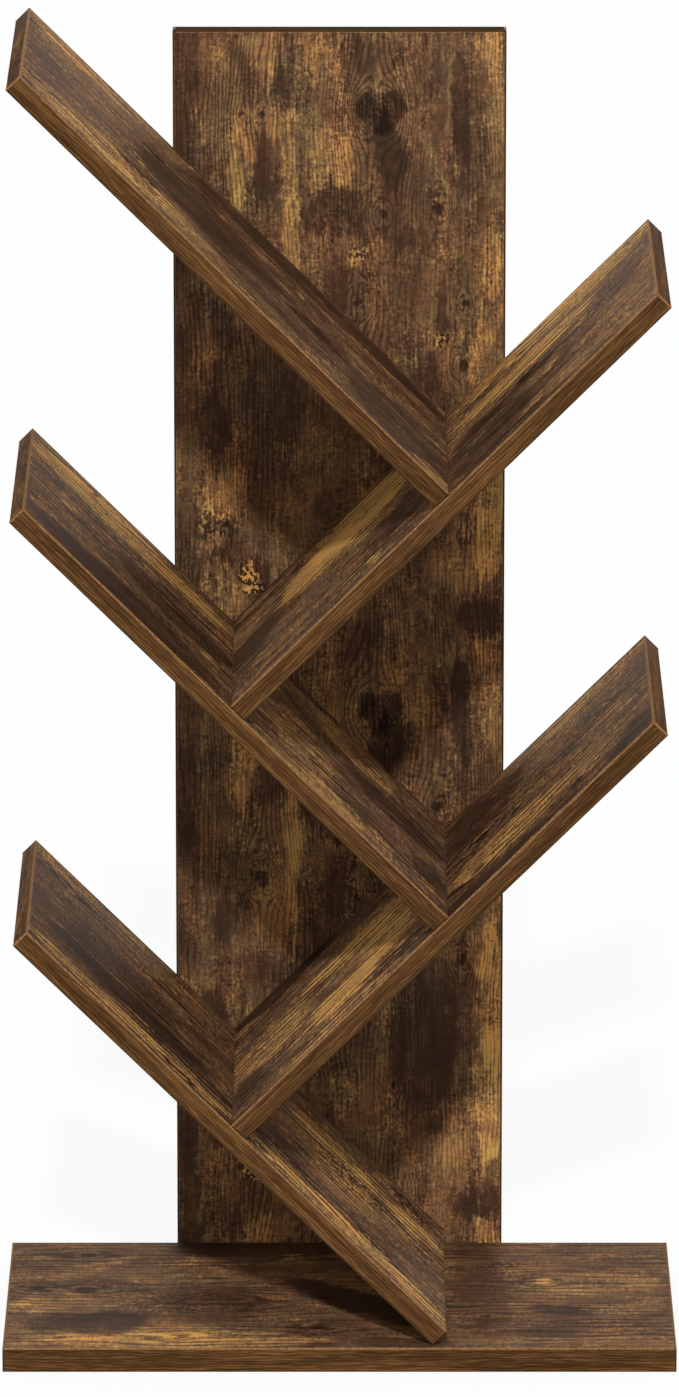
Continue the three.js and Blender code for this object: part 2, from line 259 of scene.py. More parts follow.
# On a branch, places are mm from its root end and from its front edge.
BRANCH_PATCHES = {
    5: (
        Patch(273, 29, 84, 22, 0.24, 2),  # gold along the front of the tip half
        Patch(300, 14, 56, 9, 0.16),
        Patch(300, 158, 44, 28, 0.1),  # tan at the tip's back
        Patch(330, 100, 18, 18, -0.14),
        Patch(198, 99, 58, 36, -0.26),  # smooth smoke in the middle
        Patch(108, 84, 20, 11, -0.22),
        Patch(42, 48, 46, 44, -0.16),
        Patch(120, 136, 4, 6, 0.4),  # pale chip
        Patch(12, 14, 16, 13, 0.28),
        Patch(100, 176, 110, 18, -0.24),
        Patch(150, 60, 54, 44, -0.1),
        Patch(210, 154, 18, 14, -0.22),
        Patch(126, 130, 28, 16, -0.14),
        Patch(290, 184, 80, 14, 0.24),
    ),
    4: (
        Patch(74, 132, 34, 26, 0.38),  # gold on both sides of branch 5's foot; the first two are brightened as painted light over branch 5's cast shadow
        Patch(112, 152, 44, 34, 0.48),
        Patch(120, 112, 24, 26, 0.22),
        Patch(276, 180, 84, 22, 0.35),
        Patch(222, 10, 40, 12, -0.16),
        Patch(244, 136, 58, 16, 0.34),
        Patch(50, 180, 44, 9, 0.14),
        Patch(20, 94, 24, 26, -0.16),
        Patch(144, 70, 30, 30, -0.18),  # smoke on both sides of the joint
        Patch(212, 52, 34, 42, -0.24),
        Patch(242, 54, 44, 16, -0.18),
        Patch(230, 96, 40, 12, -0.18),
        Patch(287, 72, 18, 10, -0.18),
        Patch(325, 118, 20, 28, -0.16),
        Patch(82, 44, 34, 20, 0.08),
        Patch(310, 34, 44, 26, 0.06),
        Patch(120, 22, 4, 7, 0.45),  # pale chips
        Patch(265, 73, 4, 6, 0.45),
        Patch(250, 100, 100, 96, 0.07),
    ),
    3: (
        Patch(272, 164, 84, 20, 0.36),  # gold along the back of the tip half; the patch at (126, 76) is painted light over branch 4's cast shadow
        Patch(213, 159, 34, 18, 0.14),
        Patch(288, 104, 22, 30, -0.06),
        Patch(227, 94, 44, 27, -0.2),
        Patch(268, 22, 76, 24, -0.3),
        Patch(112, 10, 40, 10, 0.18),
        Patch(333, 36, 16, 34, 0.06),
        Patch(112, 150, 32, 40, 0.06),
        Patch(76, 166, 36, 26, 0.22),
        Patch(43, 114, 40, 18, -0.2),
        Patch(126, 76, 34, 40, 0.22),
        Patch(84, 20, 36, 15, 0.2),
        Patch(300, 186, 60, 12, 0.2),
        Patch(15, 54, 14, 20, -0.22),
        Patch(318, 104, 4, 6, 0.4),  # pale chips
        Patch(198, 61, 4, 6, 0.4),
        Patch(138, 144, 3, 5, 0.4),
        Patch(270, 100, 90, 96, 0.05),
    ),
    2: (
        Patch(230, 54, 48, 24, 0.36),  # gold near the front; the patch at (130, 74) is painted light over branch 3's cast shadow
        Patch(302, 49, 26, 24, 0.18),
        Patch(295, 94, 50, 14, 0.18),
        Patch(295, 150, 48, 34, 0.1),
        Patch(34, 98, 34, 32, 0.24),
        Patch(108, 128, 44, 14, 0.34),
        Patch(118, 108, 40, 50, 0.14),
        Patch(130, 74, 20, 50, 0.16),
        Patch(92, 52, 28, 24, 0.32),
        Patch(104, 84, 32, 18, -0.1),
        Patch(130, 30, 15, 14, -0.2),
        Patch(72, 154, 50, 20, 0.06),
        Patch(286, 184, 76, 14, 0.22),
        Patch(104, 64, 64, 50, 0.12),
        Patch(40, 184, 44, 14, -0.32),
        Patch(92, 10, 44, 10, 0.2),
        Patch(332, 10, 28, 12, -0.2),
        Patch(17, 34, 16, 32, -0.12),
        Patch(212, 150, 32, 36, -0.18),
        Patch(212, 10, 60, 9, -0.2),
        Patch(330, 22, 22, 18, -0.12),
    ),
    1: (
        Patch(264, 16, 90, 12, 0.3),  # gold in front of the seam
        Patch(80, 18, 78, 14, 0.34),
        Patch(258, 58, 66, 14, -0.24),
        Patch(310, 186, 50, 12, 0.2),
        Patch(30, 8, 36, 9, 0.14),
        Patch(174, 43, 190, 1.6, -0.34),  # the seam
        Patch(243, 169, 58, 14, 0.08),
        Patch(246, 86, 60, 44, -0.06),
        Patch(233, 121, 16, 12, 0.14),
        Patch(323, 92, 26, 50, -0.08),
        Patch(93, 144, 38, 18, 0.2),
        Patch(25, 142, 24, 17, 0.34),
        Patch(33, 176, 16, 9, -0.4),
        Patch(76, 119, 26, 17, -0.24),
        Patch(85, 108, 64, 44, 0.16),
        Patch(134, 76, 22, 30, -0.14),
        Patch(30, 72, 28, 26, -0.06),
        Patch(68, 114, 3, 8, 0.6),
    ),
}
BRANCH_FLAKES = {
    5: (Patch(262, 26, 60, 12, 0.3),),
    4: (Patch(300, 104, 20, 14, 0.4),),
    3: (Patch(66, 26, 36, 14, 0.3),),
    2: (Patch(84, 40, 28, 18, 0.3), Patch(317, 131, 8, 6, 0.5)),
    1: (Patch(33, 172, 20, 12, 0.9), Patch(80, 118, 30, 20, 0.8)),
}
BRANCH_KNOTS = {
    5: (Knot(255, 50, 2.6, 8), Knot(335, 33, 2.6, 7), Knot(108, 84, 2.4, 9)),
    4: (Knot(224, 166, 5.0, 11), Knot(245, 103, 4.0, 9), Knot(304, 104, 2.2, 9), Knot(70, 176, 2.0, 10)),
    3: (Knot(285, 178, 2.6, 9), Knot(180, 96, 2.4, 6), Knot(70, 30, 2.6, 9)),
    2: (Knot(211, 99, 4.0, 11), Knot(206, 44, 2.8, 6), Knot(287, 26, 3.6, 7), Knot(244, 54, 1.8, 5)),
    1: (Knot(333, 164, 3.0, 11), Knot(60, 34, 2.8, 9), Knot(154, 14, 2.6, 8), Knot(225, 12, 0, 8)),
}
BRANCH_DECOR = {
    number: Decor(
        BRANCH_PATCHES[number],
        BRANCH_KNOTS[number],
        BRANCH_FLAKES[number],
        streaks=0.35,
        fibres=1.15,
        marks=0.85,
        widen=2.3,
        rings=0.62,
        ring_step=7.5,
    )
    for number in BRANCHES
}

# On the base, places are mm from its left end and from its front edge.
BASE_PATCHES = (
    Patch(32, 80, 30, 22, 0.14),  # mottled gold at the left
    Patch(50, 148, 34, 9, 0.12, 40),
    Patch(100, 140, 30, 20, 0.08),
    Patch(104, 14, 90, 14, 0.26),  # gold along the front edge
    Patch(108, 30, 26, 12, 0.14),
    Patch(60, 30, 30, 8, 0.1),
    Patch(357, 121, 34, 22, 0.12),
    Patch(375, 72, 22, 12, 0.16),
    Patch(344, 12, 50, 7, 0.12),
    Patch(10, 90, 12, 60, 0.08),
    Patch(17, 120, 14, 12, -0.16),
    Patch(50, 46, 38, 20, -0.26),  # smooth smoke behind it
    Patch(122, 84, 30, 34, -0.16),
    Patch(213, 84, 60, 15, -0.36, -47),  # painted shadow, deep, at branch 1's foot; darker places after it
    Patch(122, 186, 24, 14, -0.12),
    Patch(218, 10, 46, 12, -0.16),
    Patch(332, 70, 20, 10, -0.28),
    Patch(284, 120, 18, 84, -0.16),
    Patch(310, 40, 40, 20, -0.08),
    Patch(165, 22, 46, 2.4, -0.24, 4),  # dark wavy line near the front; the patch at (150, 186) is painted shade at the trunk's foot
    Patch(150, 186, 56, 16, -0.22),
    Patch(321, 124, 4.5, 5, 0.4),  # pale chips
    Patch(177, 176, 4, 4, 0.4),
)
BASE_FLAKES = (
    Patch(100, 90, 40, 30, 0.25),
    Patch(300, 150, 16, 16, 0.4),
)
BASE_KNOTS = (
    Knot(47, 109, 4.5, 9),
    Knot(18, 112, 3.4, 9),
    Knot(47, 175, 3.2, 7),
    Knot(107, 22, 2.6, 6),
    Knot(187, 39, 3.8, 9),
    Knot(130, 84, 0, 14),
    Knot(321, 124, 0, 8),
    Knot(288, 59, 2.0, 5),
)
BASE_DECOR = Decor(
    BASE_PATCHES,
    BASE_KNOTS,
    BASE_FLAKES,
    streaks=0.14,
    fibres=0.75,
    marks=0.6,
    widen=2.2,
    rings=0.34,
    ring_step=7.0,
)


# sizes, colours and stage that a user may change


def length_property(name, description, default):
    """A length that a user may change, in metres."""
    return bpy.props.FloatProperty(name=name, description=description, default=default, unit="LENGTH")


def angle_property(name, description, degrees):
    """An angle that a user may change, given in degrees."""
    angle = math.radians(degrees)
    return bpy.props.FloatProperty(name=name, description=description, default=angle, unit="ROTATION")


def colour_property(name, description, code):
    """A colour that a user may change, given as an sRGB hex code."""
    return bpy.props.FloatVectorProperty(
        name=name, description=description, subtype="COLOR", size=3, min=0, max=1, default=linear(code)
    )


class BookshelfSizes(bpy.types.PropertyGroup):
    """Small sizes that the frame doesn't fix."""

    band_arris: length_property(
        "Band arris", "Radius to which the outer arrises of the edge bands are scraped", 0.9 * MM
    )
    face_arris: length_property(
        "Face arris", "Break of the boards' sharp sawn edges at the glue line", 0.12 * MM
    )
    arris_steps: bpy.props.IntProperty(
        name="Arris steps", description="Faces across a rounded arris", default=3, min=1
    )
    bore_clearance: length_property("Bore clearance", "Room left round each screw and dowel", 0.3 * MM)
    socket_corners: length_property(
        "Socket across corners", "Width of the screws' six-sided sockets across their corners", 3.4 * MM
    )
    socket_depth: length_property("Socket depth", "Depth of the screws' six-sided sockets", 2.0 * MM)
    thread_pitch: length_property(
        "Thread pitch", "Distance from one thread crest of a screw to the next", 2.2 * MM
    )
    round_sides: bpy.props.IntProperty(
        name="Round sides",
        description="Sides of a dowel or a bore; a screw has half as many",
        default=48,
        min=12,
    )


class BookshelfFinish(bpy.types.PropertyGroup):
    """Colours of the print, the bands, the board's core and the fasteners."""

    print_black: colour_property("Print black", "Knots and burnt places", "#241811")
    print_smoke: colour_property("Print smoke", "Smoky dark of the print", "#38271b")
    print_dark: colour_property("Print dark", "Dark brown of the print", "#493426")
    print_brown: colour_property("Print brown", "Middle brown of the print", "#5f4532")
    print_tan: colour_property("Print tan", "Light brown of the print", "#775a3e")
    print_honey: colour_property("Print honey", "Honey of the print", "#9a7347")
    print_gold: colour_property("Print gold", "Lightest worn gold of the print", "#c89a57")
    band_dark: colour_property("Band dark", "Dark lines of the edge bands", "#332210")
    band_brown: colour_property("Band brown", "Brown of the edge bands", "#4b321c")
    band_light: colour_property("Band light", "Light lines of the edge bands", "#72502c")
    band_scraped: colour_property("Band scraped", "Plain plastic where a band was trimmed", "#4f3823")
    chip_dark: colour_property("Chip dark", "Dark chips of the board's core", "#7a5836")
    chip_light: colour_property("Chip light", "Light chips of the board's core", "#c19a68")
    zinc: colour_property("Zinc", "Zinc coat of the screws", "#bfc1c3")
    zinc_dull: colour_property("Zinc dull", "Dull places in the zinc coat", "#8e9193")
    beech_light: colour_property("Beech light", "Light wood of the dowels", "#d2ad84")
    beech_dark: colour_property("Beech dark", "Flecks of the dowels", "#a87c54")


class BookshelfStage(bpy.types.PropertyGroup):
    """Camera, lamps and floor."""

    camera_distance: length_property(
        "Camera distance", "How far the camera stands in front of the bookshelf", 6.0
    )
    camera_height: length_property("Camera height", "Height of the camera", 2.032)
    aim_height: length_property("Aim height", "Height on the bookshelf that the camera looks at", 0.3855)
    lens: bpy.props.FloatProperty(
        name="Lens", description="Focal length on a sensor 36 mm wide", default=270.2, unit="CAMERA"
    )
    key_height: angle_property("Key height", "Angle of the key lamp above the horizon", 41)
    key_side: angle_property("Key side", "Angle of the key lamp to the left of the camera", 2)
    key_spread: angle_property("Key spread", "Angle that the key lamp fills, which softens its shadows", 3)
    key_strength: bpy.props.FloatProperty(
        name="Key strength", description="Strength of the key lamp", default=2.1, min=0
    )
    sky_strength: bpy.props.FloatProperty(
        name="Sky strength", description="Plain light from all round", default=0.76, min=0
    )
    shadow_keep: bpy.props.FloatProperty(
        name="Floor shadow",
        description="Share of the object's shadow that the white floor shows",
        default=0.11,
        min=0,
        max=1,
        subtype="FACTOR",
    )
    floor_size: length_property("Floor size", "Side of the square floor", 60.0)
    floor_gap: length_property("Floor gap", "How far the floor lies below the bookshelf", 0.2 * MM)


# nodes and finishes


def feed(tree, made, inputs):
    """Links or sets a node's inputs, which are given in order or by name."""
    for key, value in inputs.items() if isinstance(inputs, dict) else enumerate(inputs):
        if isinstance(value, bpy.types.NodeSocket):
            tree.links.new(value, made.inputs[key])
        else:
            made.inputs[key].default_value = value


def add(tree, kind, inputs=(), out=0, stops=(), **settings):
    """Adds a shader node with its settings, its inputs and its colour stops, and gives one of its outputs.

    The inputs of a MapRange run: value, the two ends it comes from, and the two ends it is turned to. Those
    of a Mix of colours are 0 for its share, and 6 and 7 for its colours."""
    made = tree.nodes.new("ShaderNode" + kind)
    for name, value in settings.items():
        setattr(made, name, value)
    feed(tree, made, inputs)
    if stops:
        ramp = made.color_ramp.elements
        while len(ramp) < len(stops):
            ramp.new(1.0)
        for stop, (place, colour) in zip(ramp, stops):
            stop.position = place
            stop.color = (*colour, 1.0)
    return made.outputs[out] if made.outputs else made


def finish_start(name):
    """A new material: the material, its tree, its Principled shader, what adds a node, and the colours."""
    finish = bpy.data.materials.new(name)
    finish.use_nodes = True
    tree = finish.node_tree
    shader = next(n for n in tree.nodes if n.type == "BSDF_PRINCIPLED")
    return finish, tree, shader, partial(add, tree), bpy.context.scene.bookshelf_finish


class BoardPrint:
    """The printed paper on one board, as shader nodes. Distances are in mm on the board, with x along the
    grain and y across it. origin and turn are the board's corner and lie, signs turns its directions round,
    and seed picks its place on the printed sheet."""

    def __init__(self, node, origin, turn, signs, seed, decor, repeat):
        self.node, self.decor, self.repeat = node, decor, repeat
        corner = {
            "Vector": node("TexCoord", out="Object"),
            "Location": origin,
            "Rotation": turn,
            "Scale": [sign * MM for sign in signs],
        }
        whole = node("Mapping", corner, vector_type="TEXTURE")
        sheet_place = [seed * step for step in SHEET_STEPS]
        self.sheet = node("Mapping", {"Vector": whole, "Location": sheet_place, "Scale": (1, 1, FACES_APART)})
        self.place = self.wrapped(whole) if repeat else whole
        self.shaken, self.knotty = self.shake()
        # The same shaken place down the whole board, for the painted light that doesn't come again with the
        # repeat.
        once = node("VectorMath", (self.shaken, whole), operation="ADD")
        self.once = node("VectorMath", (once, self.place), operation="SUBTRACT")

    def wrapped(self, place):
        """The place within one repeat of the print."""
        along, across, deep = (self.node("SeparateXYZ", (place,), out=axis) for axis in ("X", "Y", "Z"))
        along = self.node("Math", (along, self.repeat - REPEAT_START, -REPEAT_START), operation="WRAP")
        return self.node("CombineXYZ", (along, across, deep))

    def blots(self, along, across, detail, roughness, out=0):
        """Noise over the sheet, whose blots are about along by across mm."""
        squeezed = self.node("Mapping", {"Vector": self.sheet, "Scale": (1 / along, 1 / across, 1 / across)})
        noise = {"Vector": squeezed, "Scale": 1.0, "Detail": detail, "Roughness": roughness}
        return self.node("TexNoise", noise, out=out)

    def shake(self):
        """Where to draw what the tables place, so that its edges are ragged: its place is shaken by blots of
        many sizes, and by thin streaks that draw its ends out along the grain. Knots keep their place, so
        only the small blots shake theirs, which comes second."""
        shaken, knotty = self.place, None
        for field, reach in (
            (self.blots(5, 5, 3.0, 0.6, out=1), (7, 6, 0)),
            (self.blots(36, 20, 7.0, 0.7, out=1), (36, 26, 0)),
            (self.blots(46, 2.4, 3.0, 0.6, out=1), (32, 0, 0)),
        ):
            shake = self.node("VectorMath", (field, (0.5, 0.5, 0.5)), operation="SUBTRACT")
            shake = self.node("VectorMath", (shake, reach), operation="MULTIPLY")
            shaken = self.node("VectorMath", (shaken, shake), operation="ADD")
            knotty = knotty or shaken
        return shaken, knotty

    def spot(self, mark, length, width, turn=0.0, edge=2.0, over=None):
        """A spot of 1 in the middle that fades to 0 at its rim; a higher edge makes the fade shorter."""
        lies = {
            "Vector": over or self.shaken,
            "Location": (mark.along, mark.across, 0),
            "Rotation": (0, 0, math.radians(turn)),
            "Scale": (length, width, FACE_REACH),
        }
        lies = self.node("Mapping", lies, vector_type="TEXTURE")
        fade = self.node("TexGradient", (lies,), out=1, gradient_type="SPHERICAL")
        return self.node("MapRange", (fade, 0.0, 1 / edge), interpolation_type="SMOOTHSTEP")

    def layered(self, start, *fields):
        """Adds each field's swing about its middle, times its weight, to start."""
        total = start - sum(weight for _, weight in fields) / 2
        for field, weight in fields:
            total = self.node("Math", (field, weight, total), operation="MULTIPLY_ADD")
        return total

    def patches(self):
        """The board's patches, each with the place that it is drawn over. A patch near one end of the repeat,
        with its ragged edges, crosses to the other end."""
        repeat = self.repeat
        found = [(p, self.once if p.along > repeat else self.shaken) for p in self.decor.patches]
        for patch in self.decor.patches if repeat else ():
            reach = patch.length * PATCH_RIM + SHAKE_REACH
            for along in (patch.along - repeat, patch.along + repeat):
                if patch.along < repeat and -reach < along + REPEAT_START < repeat + reach:
                    found.append((patch._replace(along=along), self.shaken))
        return found

    def ground(self):
        """The print's ground: large soft blots, blots of a few centimetres with torn edges, streaks, and the
        patches."""
        torn = self.blots(34, 22, 7.0, 0.72)
        torn = self.node("MapRange", (torn, 0.43, 0.57), interpolation_type="SMOOTHSTEP")
        ground = self.layered(
            MIDDLE_TONE,
            (self.blots(80, 40, 5.0, 0.6), 0.42),
            (torn, 0.11),
            (self.blots(12, 8.0, 4.0, 0.62), 0.22),
            (self.blots(190, 9.0, 3.0, 0.6), 0.75 * self.decor.streaks),
            (self.blots(110, 3.2, 3.0, 0.62), 0.62 * self.decor.streaks),
        )
        for patch, over in self.patches():
            rim = patch.length * PATCH_RIM, patch.width * PATCH_RIM
            rubbed = self.spot(patch, *rim, patch.turn, PATCH_EDGE, over)
            ground = self.node("Math", (rubbed, patch.tone, ground), operation="MULTIPLY_ADD")
        return ground

    def mesh(self):
        """Fibres, saw marks and specks, drawn 1 to 2 mm wide so that they show at this distance."""
        widen, fibres, marks = self.decor.widen, self.decor.fibres, self.decor.marks
        return self.layered(
            0.0,
            (self.blots(16 + 8 * widen, 1.4 * widen, 3.0, 0.6), 0.58 * fibres),
            (self.blots(1.5, 5.0 * widen, 3.0, 0.62), 0.46 * marks),
            (self.blots(2.2, 1.8 * widen, 3.0, 0.7), 0.9 * marks),
            (self.blots(6.5, 3.4 * widen, 4.0, 0.7), 0.55 * fibres),
        )

    def mesh_share(self, ground):
        """How much of the mesh shows: all of it where the print is rubbed light, nearly none in the smoke,
        and more or less of it in patches besides."""
        share = self.node("MapRange", (ground, 0.12, 0.6, 0.25, 1.15), interpolation_type="SMOOTHSTEP")
        patchy = self.blots(30, 16, 3.0, 0.6)
        patchy = self.node("MapRange", (patchy, 0.38, 0.62, 0.55, 1.35), interpolation_type="SMOOTHSTEP")
        return self.node("Math", (share, patchy), operation="MULTIPLY")

    def rings(self, ground):
        """Year rings: lines of equal place across the board, which part round each knot as water round a
        post. The dark of the knots themselves comes second."""
        node, step = self.node, self.decor.ring_step
        flow = node("SeparateXYZ", (self.place,), out="Y")
        dark = 0.0
        share = self.blots(60, 24, 3.0, 0.55)
        share = node("MapRange", (share, 0.42, 0.62, 0.08, 1.0), interpolation_type="SMOOTHSTEP")
        gold = node("MapRange", (ground, 0.55, 0.8, 0.0, 0.9))
        share = node("Math", (share, gold), operation="MAXIMUM")
        for knot in self.decor.knots:
            if knot.bend:
                shrink = (1 / (knot.bend * 1.5), 1 / knot.bend, 1 / FACE_REACH)
                centre = (-knot.along * shrink[0], -knot.across * shrink[1], 0)
                post = node("VectorMath", (self.place, shrink, centre), operation="MULTIPLY_ADD")
                away = node("VectorMath", (post, post), out="Value", operation="DOT_PRODUCT")
                away = node("Math", (away, 0.55), operation="MAXIMUM")
                push = node("Math", (node("SeparateXYZ", (post,), out="Y"), away), operation="DIVIDE")
                flow = node("Math", (push, -knot.bend, flow), operation="MULTIPLY_ADD")
                near = self.spot(knot, knot.bend * 4.0, knot.bend * 2.4, edge=1.8, over=self.knotty)
                share = node("Math", (share, near), operation="MAXIMUM")
            if knot.radius:
                core = self.spot(knot, knot.radius * 1.8, knot.radius * 1.5, edge=2.4, over=self.knotty)
                dark = node("Math", (core, dark), operation="MAXIMUM")
        rings = node("Math", (self.blots(120, 30, 2.0, 0.5), RING_WANDER / step), operation="MULTIPLY")
        rings = node("Math", (flow, 1 / step, rings), operation="MULTIPLY_ADD")
        rings = node("Math", (rings, 0.5), operation="PINGPONG")
        rings = node("MapRange", (rings, 0.0, 0.3, 1.0, 0.0), interpolation_type="SMOOTHSTEP")
        share = node("Math", (share, node("MapRange", (ground, 0.05, 0.5))), operation="MULTIPLY")
        return node("Math", (rings, share), operation="MULTIPLY"), dark

    def flaked(self, tone):
        """Flaked places: the dark top coat has come off in specks of 2 to 3 mm, down to the yellow."""
        specks = self.blots(2.6, 2.2, 2.0, 0.6)
        specks = self.node("MapRange", (specks, 0.47, 0.56, -0.32, 0.5), interpolation_type="SMOOTHSTEP")
        for flake in self.decor.flakes:
            flaked = self.spot(flake, flake.length * FLAKE_RIM, flake.width * FLAKE_RIM, flake.turn)
            flaked = self.node("Math", (flaked, specks), operation="MULTIPLY")
            tone = self.node("Math", (flaked, flake.tone, tone), operation="MULTIPLY_ADD")
        return tone

    def tint(self, ground):
        """The print's hue wanders between a redder and a greener brown, and its smoke is greyer."""
        hue = self.blots(34, 18, 4.0, 0.6)
        hue = self.node("MapRange", (hue, 0.36, 0.64), interpolation_type="SMOOTHSTEP")
        tint = self.node("Mix", {0: hue, 6: REDDER, 7: GREENER}, out=2, data_type="RGBA")
        smoky = self.node("MapRange", (ground, 0.14, 0.36, 1.0, 0.0), interpolation_type="SMOOTHSTEP")
        return self.node("Mix", {0: smoky, 6: tint, 7: GREYER}, out=2, data_type="RGBA")


def rustic_melamine(name, origin, turn, signs, seed, decor, repeat=0.0):
    """Rustic brown melamine: chipboard faced with a printed, resin-pressed paper. The print shows old
    boards: patches rubbed to honey and gold with ragged edges, smooth smoky dark places, fine dark year rings
    that bend round knots, and a dense mesh of fibres, specks and short cross marks of a saw. A few of its
    patches are painted light and painted shade. The pressed resin is closed and matt, with a shallow fibre
    grain, so it greys a little where the light grazes it."""
    finish, tree, shader, node, colours = finish_start(name)
    board = BoardPrint(node, origin, turn, signs, seed, decor, repeat)
    ground = board.ground()
    mesh = board.mesh()
    tone = node("Math", (mesh, board.mesh_share(ground), ground), operation="MULTIPLY_ADD")
    rings, dark = board.rings(ground)
    tone = node("Math", (rings, -decor.rings, tone), operation="MULTIPLY_ADD")
    tone = node("Math", (dark, KNOT_TONE, tone), operation="MULTIPLY_ADD")
    tone = board.flaked(tone)
    stops = (
        (0.0, colours.print_black),
        (0.16, colours.print_smoke),
        (0.33, colours.print_dark),
        (0.48, colours.print_brown),
        (0.62, colours.print_tan),
        (0.78, colours.print_honey),
        (1.0, colours.print_gold),
    )
    colour = node("ValToRGB", (tone,), stops=stops)
    tinted = {0: 1.0, 6: colour, 7: board.tint(ground)}
    colour = node("Mix", tinted, out=2, data_type="RGBA", blend_type="MULTIPLY")
    gloss = node("MapRange", (tone, 0.1, 0.9, 0.55, 0.7))
    relief = node("Math", (rings, -0.8, mesh), operation="MULTIPLY_ADD")
    bump = node("Bump", {"Height": relief, "Strength": 0.35, "Distance": 0.06 * MM})
    feed(tree, shader, {"Base Color": colour, "Roughness": gloss, "Normal": bump})
    feed(tree, shader, {"IOR": RESIN_IOR, "Specular IOR Level": 0.05})
    return finish


def printed_band(name, turn, shade):
    """ABS edge band, extruded in a coil, printed with a fine straight grain and lacquered matt. Its wavy
    lines run along the band, light and dark by turns, about 2 mm apart. turn lays its x along the band, and
    shade darkens a strip that was cut from a darker length of the coil."""
    finish, tree, shader, node, colours = finish_start(name)
    place = node("TexCoord", out="Object")
    place = node("Mapping", {"Vector": place, "Rotation": turn, "Scale": (MM, MM, MM)}, vector_type="TEXTURE")
    # The three noises: a slow drift, short fibres, and the waviness of the lines.
    fields = []
    for along, across in ((90, 5.0), (12, 0.9), (34, 6.0)):
        squeezed = node("Mapping", {"Vector": place, "Scale": (1 / along, 1 / across, 1 / across)})
        noise = {"Vector": squeezed, "Scale": 1.0, "Detail": 2.0, "Roughness": 0.6}
        fields.append(node("TexNoise", noise))
    drift, fibres, wave = fields
    aside = node("VectorMath", (place, (0, BAND_LINES, BAND_LINES)), out="Value", operation="DOT_PRODUCT")
    lines = node("Math", (wave, BAND_WANDER, aside), operation="MULTIPLY_ADD")
    lines = node("Math", (lines, 0.5), operation="PINGPONG")
    tone = -0.45
    for field, weight in ((lines, 0.6), (fibres, 0.8), (drift, 0.8)):
        tone = node("Math", (field, weight, tone), operation="MULTIPLY_ADD")
    shown = ((0.2, colours.band_dark), (0.5, colours.band_brown), (0.85, colours.band_light))
    colour = node("ValToRGB", (tone,), stops=[(stop, shaded(part, shade)) for stop, part in shown])
    bump = node("Bump", {"Height": tone, "Strength": 0.3, "Distance": 0.05 * MM})
    feed(tree, shader, {"Base Color": colour, "Roughness": 0.6, "Normal": bump})
    feed(tree, shader, {"IOR": ABS_IOR, "Specular IOR Level": 0.01})
    return finish


def scraped_band(name, shade):
    """The same ABS where the trimming knife took the print off: plain plastic with faint scraper chatter,
    dark where it was cut. A shade above 1 draws it lighter, as a painted highlight on the upper arrises."""
    finish, tree, shader, node, colours = finish_start(name)
    # Chatter marks about 1.5 mm apart.
    place = node("TexCoord", out="Object")
    chatter = node("TexNoise", {"Vector": place, "Scale": 1 / (1.5 * MM), "Detail": 3.0})
    stops = ((0.3, shaded(colours.band_dark, shade)), (0.7, shaded(colours.band_scraped, shade)))
    colour = node("ValToRGB", (chatter,), stops=stops)
    bump = node("Bump", {"Height": chatter, "Strength": 0.2, "Distance": 0.03 * MM})
    feed(tree, shader, {"Base Color": colour, "Roughness": 0.6, "Normal": bump})
    feed(tree, shader, {"IOR": ABS_IOR, "Specular IOR Level": 0.02})
    return finish


def raw_chipboard(name):
    """Sawn chipboard: pressed wood chips of 1 to 3 mm in resin, pale and open, dull and rough."""
    finish, tree, shader, node, colours = finish_start(name)
    place = node("TexCoord", out="Object")
    chips = node("TexVoronoi", {"Vector": place, "Scale": 1 / (1.6 * MM), "Randomness": 1.0}, out="Color")
    dust = node("TexNoise", {"Vector": place, "Scale": 1 / (0.6 * MM), "Detail": 3.0})
    tone = node("Math", (dust, 0.5, node("SeparateColor", (chips,))), operation="MULTIPLY_ADD")
    colour = node("ValToRGB", (tone,), stops=((0.25, colours.chip_dark), (1.0, colours.chip_light)))
    bump = node("Bump", {"Height": tone, "Strength": 0.6, "Distance": 0.15 * MM})
    feed(tree, shader, {"Base Color": colour, "Roughness": 0.85, "Normal": bump})
    return finish


def zinc_plated_steel(name):
    """Steel screws, cold headed and zinc plated: bright grey, faintly mottled, with fine barrel scratches."""
    finish, tree, shader, node, colours = finish_start(name)
    place = node("TexCoord", out="Object")
    mottle = node("TexNoise", {"Vector": place, "Scale": 1 / (1.8 * MM), "Detail": 4.0})
    colour = node("ValToRGB", (mottle,), stops=((0.3, colours.zinc_dull), (0.62, colours.zinc)))
    scratches = node("TexNoise", {"Vector": place, "Scale": 1 / (0.3 * MM), "Detail": 2.0})
    gloss = node("MapRange", (scratches, 0.3, 0.7, 0.26, 0.44))
    bump = node("Bump", {"Height": scratches, "Strength": 0.15, "Distance": 0.02 * MM})
    feed(tree, shader, {"Base Color": colour, "Roughness": gloss, "Normal": bump, "Metallic": 1.0})
    return finish


def turned_beech(name):
    """Beech dowel rod: pale pinkish wood with short darker flecks along the grain, planed and dull."""
    finish, tree, shader, node, colours = finish_start(name)
    # Flecks about 2 mm long and 0.4 mm wide.
    place = node("TexCoord", out="Object")
    fleck = {"Vector": place, "Rotation": LEANS["right"], "Scale": (2 * MM, 0.4 * MM, 0.4 * MM)}
    fleck = node("Mapping", fleck, vector_type="TEXTURE")
    flecks = node("TexNoise", {"Vector": fleck, "Scale": 1.0, "Detail": 2.0})
    colour = node("ValToRGB", (flecks,), stops=((0.34, colours.beech_dark), (0.5, colours.beech_light)))
    bump = node("Bump", {"Height": flecks, "Strength": 0.3, "Distance": 0.05 * MM})
    feed(tree, shader, {"Base Color": colour, "Roughness": 0.65, "Normal": bump})
    return finish


